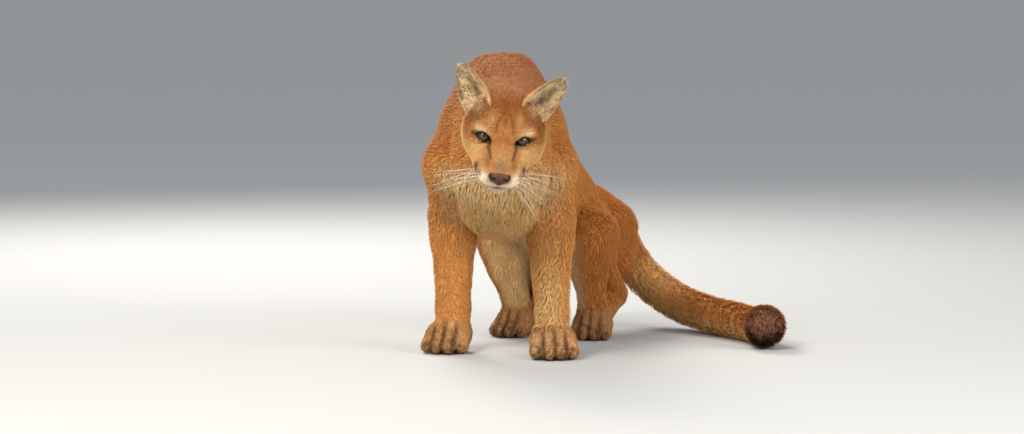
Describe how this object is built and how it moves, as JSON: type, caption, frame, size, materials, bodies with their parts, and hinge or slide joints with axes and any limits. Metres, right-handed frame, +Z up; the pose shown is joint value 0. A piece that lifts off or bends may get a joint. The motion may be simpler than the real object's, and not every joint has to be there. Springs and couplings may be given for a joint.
{
  "type": "cougar",
  "caption": "Life-size cougar standing with lowered head, straight forelegs, crouched haunches and a long thick tail laid round its left side",
  "frame": {"origin": "on the floor, under the middle of the animal's bounding box", "axes": "+Z up; the animal faces -Y, so +Y runs from its nose to its rump; +X is its own left side, where the tail lies"},
  "size_m": [0.785, 1.0348, 0.6345],
  "materials": {
    "coat": "short dense tawny fur, rufous on the back, buff on the throat and belly",
    "ear": "short fur, dark grey behind, pale buff inside",
    "eye": "wet grey-green eyeball with a round dark pupil",
    "nose_leather": "bare reddish brown, finely grained, dark at the edges"
  },
  "bodies": {
    "root": {"chest": "coat", "ear_left": "ear", "ear_right": "ear", "eye_left": "eye", "eye_right": "eye", "forearm_left": "coat", "forearm_right": "coat", "forepaw_left": "coat", "forepaw_right": "coat", "head": "coat", "hind_foot_left": "coat", "hind_foot_right": "coat", "loin": "coat", "neck": "coat", "nose": "nose_leather", "rump": "coat", "shank_left": "coat", "shank_right": "coat", "tail_base": "coat", "tail_middle": "coat", "tail_tip": "coat", "thigh_left": "coat", "thigh_right": "coat", "upper_arm_left": "coat", "upper_arm_right": "coat"}
  },
  "joints": []
}
